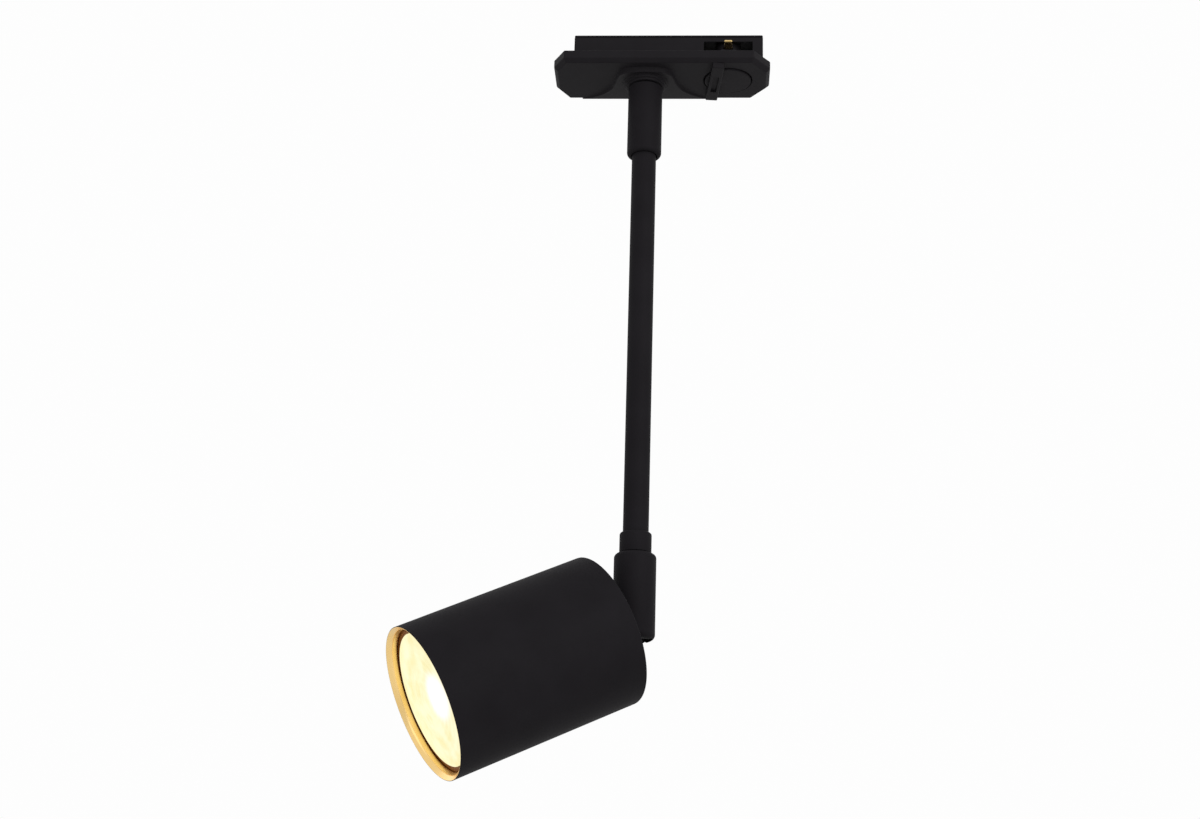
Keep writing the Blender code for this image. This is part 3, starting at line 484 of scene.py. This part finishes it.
def head_can():
    """The turned cup: a thin wall that ends in a sharp rim, a crisp rear edge and a lead hole in the back."""
    inside = HEAD_BACK + BACK_PLATE
    profile = rounded([
        (INNER_RADIUS, SHELL_RIM - (HEAD_RADIUS - KNIFE - INNER_RADIUS)), (HEAD_RADIUS - KNIFE, SHELL_RIM),
        (HEAD_RADIUS, SHELL_RIM - KNIFE), (HEAD_RADIUS, HEAD_BACK, BACK_EDGE),
        (LEAD_HOLE_RADIUS, HEAD_BACK, 0.3), (LEAD_HOLE_RADIUS, inside),
        (INNER_RADIUS, inside, INNER_CORNER)], 6)
    can = lathe("turned_head_can", profile, TURNED_SIDES, ring=True)
    add(can, "head", "black_coat", HEAD, ["head_shell"])


def head_rings():
    """The gold trim ring, flared to the can's rim, and the seat behind it, coloured as gold darkened by
    painted shade.
    """
    lip = HEAD_RADIUS - 2 * KNIFE
    wall = rounded([
        (lip - KNIFE, RING_FRONT), (lip, RING_FRONT), (SEAT_RADIUS, RING_FRONT - (lip - SEAT_RADIUS)),
        (SEAT_RADIUS, RING_BACK), (RING_BORE_RADIUS, RING_BACK, 0.2),
        (RING_BORE_RADIUS, RING_FRONT - FLARE_DEPTH, FLARE_CORNER)], 8)
    add(lathe("turned_gold_ring", wall, TURNED_SIDES, ring=True), "head", "gold_ring", HEAD, ["trim_ring"])
    seat = rounded([
        (LENS_RADIUS + GAP, SEAT_FRONT, 0.3), (SEAT_RADIUS, SEAT_FRONT, 0.2), (SEAT_RADIUS, SEAT_BACK),
        (LENS_RADIUS + GAP, SEAT_BACK, 0.3)], 4)
    # The seat's brown is painted shade: its gold is darkened as if shaded in the gap behind the lens.
    add(lathe("lamp_seat_ring", seat, 128, ring=True), "head", "bronze_ring", HEAD, ["centring_ring"])


# ---------------------------------------------------------------- lamp
LENS_RISE = 1.15                   # of the dome from its edge to its middle
LENS_EDGE = 1.2                    # depth of the lens's outer corner below the middle
LENS_BORDER = 0.6
RIPPLE_DEPTH, RIPPLE_PITCH = 0.05, 2.6
RIPPLE_START = 5.0                 # the ripples reach full depth at this radius
DOME_STEPS = 44
FINS, FIN_DEPTH = 24, 0.5
FIN_FOOT_RADIUS = 14.2
BASE_HOLE_RADIUS, BASE_WALL = 1.6, 2.0
NECK = 36.0                        # depths of the lamp body's corners behind its rim
THROAT = 30.0
WAIST = 16.0
BELT = 6.0
SKIN = 1.3                         # the body's thickness at the rim


def lens():
    """The lamp's domed lens with its moulded rings."""
    edge = LENS_TOP - LENS_EDGE
    dome = [(0, LENS_TOP)]
    for k in range(1, DOME_STEPS + 1):
        share = k / DOME_STEPS
        radius = share * (LENS_RADIUS - LENS_BORDER)
        wave = math.cos(radius * 2 * math.pi / RIPPLE_PITCH)
        ripple = RIPPLE_DEPTH * wave * min(1.0, radius / RIPPLE_START)
        dome.append((radius, LENS_TOP - LENS_RISE * share ** 2 + ripple))
    dome += [(LENS_RADIUS - 0.25, edge - 0.05), (LENS_RADIUS, edge - 0.35), (LENS_RADIUS, LENS_BACK),
             (0, LENS_BACK)]
    add(lathe("rippled_lens", dome, 128), "lamp", "lens", HEAD, ["lamp_lens"])


def lamp_shell():
    """The lamp's hollow body, with shallow cooling fins round its cone."""
    shell = rounded([
        (LAMP_RADIUS - SKIN, LAMP_RIM), (LAMP_RADIUS, LAMP_RIM, 0.3), (LAMP_RADIUS, LAMP_RIM - BELT, 3.0),
        (22.5, LAMP_RIM - WAIST, 6.0), (17.5, LAMP_RIM - THROAT, 6.0), (15.0, LAMP_RIM - NECK, 3.0),
        (13.6, LAMP_BASE, 0.6), (BASE_HOLE_RADIUS, LAMP_BASE), (BASE_HOLE_RADIUS, LAMP_BASE + BASE_WALL),
        (12.4, LAMP_BASE + BASE_WALL), (13.0, LAMP_RIM - NECK), (15.6, LAMP_RIM - 29.5),
        (20.8, LAMP_RIM - WAIST), (22.0, LAMP_RIM - 11.0), (LAMP_RADIUS - SKIN, LAMP_RIM - 5.6)], 5)
    mesh = lathe("finned_lamp_body", shell, 144, ring=True)
    heights, skins = [LAMP_BASE, LAMP_RIM - THROAT, LAMP_RIM - BELT], [13.6, 17.0, 24.5]
    for vertex in mesh.vertices:
        height, radius = vertex.co.z / MM, vertex.co.xy.length / MM
        finned = radius > FIN_FOOT_RADIUS and LAMP_BASE + 4.0 < height < LAMP_RIM - 5.0
        if finned and radius > np.interp(height, heights, skins):
            wave = 0.5 + 0.5 * math.cos(FINS * math.atan2(vertex.co.y, vertex.co.x))
            vertex.co.xy *= 1 - FIN_DEPTH * wave / radius
    add(mesh, "lamp", "white_plastic", HEAD, ["lamp_body"])


# ---------------------------------------------------------------- stem
NIPPLE_BORE_RADIUS = 4.3
TUBE_BORE_RADIUS = 3.4
TUBE_SEAT_RADIUS = TUBE_RADIUS + GAP
GRUB_Z = -33.0
GRUB_RADIUS = 1.8
GRUB_REACH = (4.5, 9.0)            # of the grub screw's hole, along Y
SPIGOT_RADIUS = 4.2
SPIGOT_BORE_RADIUS = 2.8
GROOVE_RADIUS = 3.5
GROOVE_PLAY = 0.25                 # above and below the clip in its groove


def collar():
    """The collar between the adapter and the tube, with its grub screw's hole at the back."""
    shoulder = TUBE_TOP + GAP
    profile = rounded([
        (NIPPLE_BORE_RADIUS, COLLAR_TOP, 0.2), (COLLAR_RADIUS, COLLAR_TOP, 0.3),
        (COLLAR_RADIUS, COLLAR_BOTTOM, 1.6), (TUBE_SEAT_RADIUS, COLLAR_BOTTOM, 0.25),
        (TUBE_SEAT_RADIUS, shoulder), (NIPPLE_BORE_RADIUS, shoulder)], 6)
    mesh = lathe("turned_collar", profile, 128, ring=True)
    part = add(mesh, "adapter", "black_coat", STEM, ["stem_collar"])
    carve(part, [rod("grub_hole", GRUB_RADIUS, *GRUB_REACH, "Y", (0, 0, GRUB_Z))])
    flat_shading(part)


def tube():
    """The drop tube, with its ends broken."""
    profile = rounded([
        (TUBE_BORE_RADIUS, TUBE_TOP, 0.2), (TUBE_RADIUS, TUBE_TOP, 0.3), (TUBE_RADIUS, TUBE_BOTTOM, 0.3),
        (TUBE_BORE_RADIUS, TUBE_BOTTOM, 0.2)], 4)
    add(lathe("drop_tube", profile, 96, ring=True), "adapter", "black_coat", STEM, ["stem_tube"])


def sleeve():
    """The swivel sleeve: a socket for the tube above, and a grooved spigot for the knuckle below."""
    end = KNUCKLE_TOP + GAP
    floor_z = TUBE_BOTTOM - GAP
    groove_low, groove_high = CLIP_LOW - GROOVE_PLAY, CLIP_HIGH + GROOVE_PLAY
    profile = rounded([
        (TUBE_SEAT_RADIUS, SLEEVE_TOP, 0.2), (SLEEVE_RADIUS, SLEEVE_TOP, 0.8), (SLEEVE_RADIUS, end, 0.25),
        (SPIGOT_RADIUS, end, 0.2), (SPIGOT_RADIUS, groove_high), (GROOVE_RADIUS, groove_high),
        (GROOVE_RADIUS, groove_low), (SPIGOT_RADIUS, groove_low), (SPIGOT_RADIUS, SLEEVE_BOTTOM, 0.5),
        (SPIGOT_BORE_RADIUS, SLEEVE_BOTTOM, 0.3), (SPIGOT_BORE_RADIUS, floor_z),
        (TUBE_SEAT_RADIUS, floor_z)], 6)
    add(lathe("turned_sleeve", profile, 96, ring=True), "adapter", "black_coat", STEM, ["swivel_sleeve"])


# ---------------------------------------------------------------- knuckle and tilt bracket
EAR_RADIUS, EAR_OUTER, EAR_INNER = 6.0, 4.0, 1.7
FORK_HALF_GAP = EAR_OUTER + GAP
FORK_ROOF = PIVOT_Z + EAR_RADIUS + 0.7
SWIVEL_BORE_RADIUS = 4.5
PIN_HOLE_RADIUS = 2.1
PIN_REACH = (3.0, 7.4)             # of each pin's hole, from the middle outwards
FOOT_THICKNESS = 1.5
SCREW_SPREAD = 5.9                 # from the bracket's middle to each of its screws


def knuckle():
    """The swivel body: a round bar with rounded ends, slotted for the bracket and bored for the sleeve."""
    profile = rounded([
        (0, KNUCKLE_TOP), (KNUCKLE_RADIUS, KNUCKLE_TOP, 1.7), (KNUCKLE_RADIUS, KNUCKLE_BOTTOM, 2.2),
        (0, KNUCKLE_BOTTOM)], 8)
    part = add(lathe("swivel_knuckle", profile, 128), "knuckle", "black_coat", KNUCKLE, ["knuckle_body"])
    near, far = PIN_REACH
    tools = [block("fork_gap", (-EAR_RADIUS - 0.4, -FORK_HALF_GAP, KNUCKLE_BOTTOM - 2),
                   (KNUCKLE_RADIUS + 2, FORK_HALF_GAP, FORK_ROOF)),
             rod("swivel_bore", SWIVEL_BORE_RADIUS, SLEEVE_BOTTOM - 1, KNUCKLE_TOP + 1, sides=64),
             rod("clip_chamber", CLIP_RADIUS + 0.4, FORK_ROOF - 1.2, CLIP_HIGH + 0.55, sides=64)]
    tools += [rod("pin_hole", PIN_HOLE_RADIUS, low, high, "Y", (0, 0, PIVOT_Z))
              for low, high in ((near, far), (-far, -near))]
    carve(part, tools)
    ease(part, 0.25, 2)
    flat_shading(part)


def bracket():
    """A round foot on the head's back with two round-ended ears."""
    foot_back = FOOT_FRONT - FOOT_THICKNESS
    profile = rounded([
        (0, FOOT_FRONT), (FOOT_RADIUS, FOOT_FRONT, 0.15), (FOOT_RADIUS, foot_back, 0.5), (0, foot_back)], 4)
    part = add(lathe("eared_bracket", profile, 96), "head", "black_coat", HEAD, ["tilt_bracket"])
    steps = 24
    turns = [math.pi * k / steps for k in range(steps + 1)]
    round_end = [(EAR_END * math.sin(a), EAR_RADIUS * math.cos(a)) for a in turns]
    top = foot_back + 0.5
    ears = prism("ear_profile", [(top, -EAR_RADIUS), (top, EAR_RADIUS), *round_end], -EAR_OUTER, EAR_OUTER)
    ears.transform(Matrix(((0, 1, 0, 0), (0, 0, 1, 0), (1, 0, 0, 0), (0, 0, 0, 1))))
    carve(part, [ears], "UNION")
    far = EAR_RADIUS + 3
    tools = [block("ear_mouth", (-far, -EAR_INNER, -far), (far, EAR_INNER, foot_back - 2.2)),
             rod("ear_bore", PIN_HOLE_RADIUS, -far, far, "Y"),
             rod("foot_bore", 1.9, foot_back - 3, FOOT_FRONT + 1)]
    tools += [rod("foot_thread", 1.3, FOOT_FRONT - 1.0, FOOT_FRONT + 1, at=(0, y, 0))
              for y in (-SCREW_SPREAD, SCREW_SPREAD)]
    carve(part, tools)
    ease(part, 0.3, 2)
    flat_shading(part)


# ---------------------------------------------------------------- adapter
PLATE_FLOOR = -3.4
PLATE_UNDERSIDE = -5.0
PLATE_WALL = 1.6
LEFT_CUT, RIGHT_CUT = (4.7, 8.3), (7.0, 9.3)   # what the corners lose along the plate and across it
FOOT_RISE = 1.9                    # how far the foot's near end stands below the plate
FOOT_WALL = 1.0
FOOT_HALF = [(0, -11.6), (4.6, -11.3), (8.5, -10.2), (11.2, -7.8), (12.5, -4.2), (13.4, -0.5),
             (15.4, 5.0), (19.3, 9.7), (24.5, 13.2), (28.0, 14.5)]
BOSS_ROOT, BOSS_FLANGE_RADIUS, BOSS_NOSE_RADIUS = -4.4, 9.6, 8.0
PILOT_RADIUS, PILOT_Y, PILOT_X = 0.9, -11.0, (-22.0, 16.0)
KNOB_RADIUS = 9.7
KNOB_FACE = -5.5
KNOB_CLEARANCE = 0.35
KNOB_FLANGE = (11.6, -1.9, -3.0)   # its radius, top and underside
RIB_LEFT, RIB_RIGHT, RIB_NEAR, RIB_FAR = -8.0, -3.0, -14.1, 13.35
RIB_ROOT = -4.6
RIB_TURN = 6                       # degrees
SCOOP_INSET, SCOOP_HALF_LENGTH, SCOOP_DEPTH = 1.3, 6.2, 0.9
SCOOP_CUT_LOW = -9.0               # below the rib, where the cut starts
KNOB_PILOT_RADIUS, KNOB_PILOT_END = 1.0, -4.6


def plate_outline():
    """The plate's long octagon: its ends are cut back at the corners, the right one more than the left."""
    left, right, side = COVER_LOW.x, COVER_HIGH.x, COVER_HIGH.y
    return [(left + LEFT_CUT[0], -side), (right - RIGHT_CUT[0], -side),
            (right, RIGHT_CUT[1] - side), (right, side - RIGHT_CUT[1]),
            (right - RIGHT_CUT[0], side), (left + LEFT_CUT[0], side),
            (left, side - LEFT_CUT[1]), (left, LEFT_CUT[1] - side)]


def foot():
    """The low foot round the boss: a bell in plan that widens and runs out at the plate's far edge."""
    half = smooth_line(FOOT_HALF)
    outline = [(x, y) for x, y in half] + [(-x, y) for x, y in reversed(half[1:])]
    reach = half[-1][1] - half[0][1]

    def loop(inwards, share):
        line = inset(outline, inwards)
        return [(x, y, PLATE_UNDERSIDE - share * FOOT_RISE * math.sqrt((outline[0][1] + reach - b) / reach))
                for (x, y), (_, b) in zip(line, outline)]

    loops = [[(x, y, PLATE_UNDERSIDE + 0.6) for x, y in outline], loop(0, 0)]
    steps = 8
    for k in range(1, steps + 1):
        share = k / steps
        loops.append(loop(FOOT_WALL * share, share * share * (3 - 2 * share)))
    return loft("foot", loops)


def cover():
    """The moulded plate: crisp bevelled octagon, foot and stepped boss, hollow above."""
    outline = plate_outline()
    loops = [[(x, y, z) for x, y in inset(outline, d)]
             for d, z in ((0, 0), (0, PLATE_UNDERSIDE + PLATE_WALL), (PLATE_WALL, PLATE_UNDERSIDE))]
    plate = add(loft("moulded_cover", loops), "adapter", "black_plastic", STEM, ["adapter_cover"])
    ease(plate, 0.35, 3, 20)
    boss = lathe("boss", rounded([
        (0, BOSS_ROOT), (BOSS_FLANGE_RADIUS, BOSS_ROOT), (BOSS_FLANGE_RADIUS, -6.9, 0.35), (8.75, -7.0, 0.2),
        (8.6, -7.8, 0.25), (BOSS_NOSE_RADIUS, -7.9, 0.1), (BOSS_NOSE_RADIUS, COVER_LOW.z, 0.3),
        (0, COVER_LOW.z)], 4), 96)
    carve(plate, [foot(), boss], "UNION")
    hole_radius = KNOB_RADIUS + KNOB_CLEARANCE
    knob_hole = lathe("knob_hole", [(0, 1), (hole_radius, 1), (hole_radius, PLATE_UNDERSIDE + 0.35),
                                    (hole_radius + 0.6, PLATE_UNDERSIDE - 0.25),
                                    (0, PLATE_UNDERSIDE - 0.25)], 96)
    knob_hole.transform(Matrix.Translation(lock_centre))
    pilots = [rod("pilot", PILOT_RADIUS, PLATE_FLOOR - 0.9, 0, at=(x, PILOT_Y, 0), sides=24) for x in PILOT_X]
    carve(plate, [prism("hollow", inset(outline, PLATE_WALL), PLATE_FLOOR, 1.0), knob_hole,
                  rod("nipple_hole", NIPPLE_BORE_RADIUS, COVER_LOW.z - 1, 1, sides=64), *pilots])
    flat_shading(plate)


def turned_box(name, corner, far_corner, low, high):
    """An upright box between two corners in plan, turned with the knob's rib."""
    (left, near), (right, far) = corner, far_corner
    mesh = prism(name, [(left, near), (right, near), (right, far), (left, far)], low, high)
    mesh.transform(Matrix.Rotation(math.radians(RIB_TURN), 4, "Z"))
    return mesh


def knob():
    """The lock knob: a flanged disc with a finger rib whose underside is scooped."""
    flange, flange_top, flange_under = KNOB_FLANGE
    profile = rounded([
        (0, flange_top), (flange, flange_top, 0.15), (flange, flange_under, 0.15),
        (KNOB_RADIUS, flange_under), (KNOB_RADIUS, KNOB_FACE, 0.45), (0, KNOB_FACE)], 4)
    disc = add(lathe("ribbed_knob", profile, 96), "lock", "black_plastic", LOCK, ["lock_knob"])
    rib_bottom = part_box("lock_knob")[0].z / MM
    rounder = bpy.data.objects.new("rib", turned_box("rib", (RIB_LEFT, RIB_NEAR), (RIB_RIGHT, RIB_FAR),
                                                     rib_bottom, RIB_ROOT))
    bpy.context.scene.collection.objects.link(rounder)
    ease(rounder, 0.45, 3)
    rib = rounder.data
    bpy.data.objects.remove(rounder)
    carve(disc, [rib], "UNION")
    scoop = turned_box("scoop", (RIB_LEFT + SCOOP_INSET, -SCOOP_HALF_LENGTH),
                       (RIB_RIGHT - SCOOP_INSET, SCOOP_HALF_LENGTH), SCOOP_CUT_LOW, rib_bottom + SCOOP_DEPTH)
    carve(disc, [scoop, rod("knob_pilot", KNOB_PILOT_RADIUS, KNOB_PILOT_END, 0)])
    ease(disc, 0.12, 2, 50)
    flat_shading(disc)


head_can()
head_rings()
lens()
lamp_shell()
collar()
tube()
sleeve()
knuckle()
bracket()
cover()
knob()

# ---------------------------------------------------------------- pieces carried over from the CAD
CRISP = {                          # width of the rounded edges on each
    "insert_body": 0.25, "insert_cap": 0.2, "end_hook": 0.15, "earth_contact": 0.08, "terminal_block": 0.2,
    "rotor_carrier": 0.2, "live_contact": 0.1, "neutral_contact": 0.1, "holder_strap": 0.12,
    "lampholder": 0.25, "stem_locknut": 0.25, "swivel_clip": 0.1, "pivot_pin_1": 0.2, "pivot_pin_2": 0.2}
for node, thing in nodes.items():
    if thing.hide_render:
        continue
    weld = thing.modifiers.new("weld", "WELD")
    weld.merge_threshold = 1e-6
    if node in CRISP:
        edge = thing.modifiers.new("edges", "BEVEL")
        edge.width = CRISP[node] * MM
        edge.segments = 2
        edge.limit_method = "ANGLE"
        edge.angle_limit = math.radians(40)
        flat_shading(thing)


# ---------------------------------------------------------------- studio, in metres
FLOOR_Z_M = -1.6
FLOOR_HALF_M = 6.0
WORLD_FILL = 0.90
LIGHTS = (                         # name, azimuth, elevation, distance, size, watts
    ("key", 36, 12, 1.7, 1.2, 15),
    ("left_fill", -30, 10, 1.8, 1.4, 3),
    ("rear_right", 150, 25, 1.8, 1.2, 1.5),
    ("rear_left", -130, 20, 1.8, 1.2, 1.5))
CAMERA_PLACE = (0.02572, -0.70085, -0.40600)
CAMERA_LENS = 56.70                # millimetres, on a sensor 36 wide
CAMERA_TURN, CAMERA_RISE, CAMERA_ROLL = 3.34, 19.86, 1.683   # degrees


def floor():
    """A pale floor far below, as the lamp hangs near a ceiling."""
    bm = bmesh.new()
    bmesh.ops.create_grid(bm, x_segments=24, y_segments=24, size=FLOOR_HALF_M)
    for vertex in bm.verts:
        vertex.co.z = FLOOR_Z_M
    ground = bpy.data.objects.new("studio_floor", smooth_mesh(bm, "studio_floor"))
    bpy.context.scene.collection.objects.link(ground)
    ground.data.materials.append(
        surface("pale_floor", (0.80, 0.80, 0.79), (0.84, 0.84, 0.83), 300, (0.6, 0.75), 20, 0.05))


def soft_light(name, azimuth, elevation, distance, size, watts, target):
    """A square light aimed at the target; azimuth 0 is the camera's side and grows to the right."""
    light = bpy.data.lights.new(name, "AREA")
    light.size = size
    light.energy = watts
    thing = bpy.data.objects.new(name, light)
    bpy.context.scene.collection.objects.link(thing)
    a, e = math.radians(azimuth), math.radians(elevation)
    away = Vector((math.sin(a) * math.cos(e), -math.cos(a) * math.cos(e), math.sin(e)))
    thing.location = target + away * distance
    thing.rotation_euler = away.to_track_quat("Z", "Y").to_euler()
    thing.visible_camera = False


def world():
    """Near-white where the camera sees past the object, and a dimmer even light on everything else."""
    made = bpy.data.worlds.new("studio")
    made.use_nodes = True
    tree = made.node_tree
    tree.nodes.clear()
    out = tree.nodes.new("ShaderNodeOutputWorld")
    mix = tree.nodes.new("ShaderNodeMixShader")
    path = tree.nodes.new("ShaderNodeLightPath")
    fill = tree.nodes.new("ShaderNodeBackground")
    fill.inputs["Color"].default_value = (1, 1, 1, 1)
    fill.inputs["Strength"].default_value = WORLD_FILL
    seen = tree.nodes.new("ShaderNodeBackground")
    seen.inputs["Color"].default_value = (0.985, 0.985, 0.985, 1)
    link(tree, path.outputs["Is Camera Ray"], mix.inputs["Fac"])
    link(tree, fill.outputs["Background"], mix.inputs[1])
    link(tree, seen.outputs["Background"], mix.inputs[2])
    link(tree, mix.outputs["Shader"], out.inputs["Surface"])
    bpy.context.scene.world = made


def place_camera():
    """The camera: low, in front and a little to the right, looking up."""
    view = bpy.data.cameras.new("camera")
    view.lens = CAMERA_LENS
    view.sensor_width = 36
    view.sensor_fit = "HORIZONTAL"
    view.clip_start, view.clip_end = 0.01, 50
    camera = bpy.data.objects.new("camera", view)
    bpy.context.scene.collection.objects.link(camera)
    turn = (Matrix.Rotation(math.radians(CAMERA_TURN), 4, "Z")
            @ Matrix.Rotation(math.radians(90 + CAMERA_RISE), 4, "X")
            @ Matrix.Rotation(math.radians(CAMERA_ROLL), 4, "Z"))
    camera.matrix_world = Matrix.Translation(CAMERA_PLACE) @ turn
    bpy.context.scene.camera = camera


floor()
world()
centre = (Vector(cad_bounds[0]) + Vector(cad_bounds[1])) / 2
for light in LIGHTS:
    soft_light(*light, centre)
place_camera()
bpy.context.scene.view_settings.view_transform = "Standard"
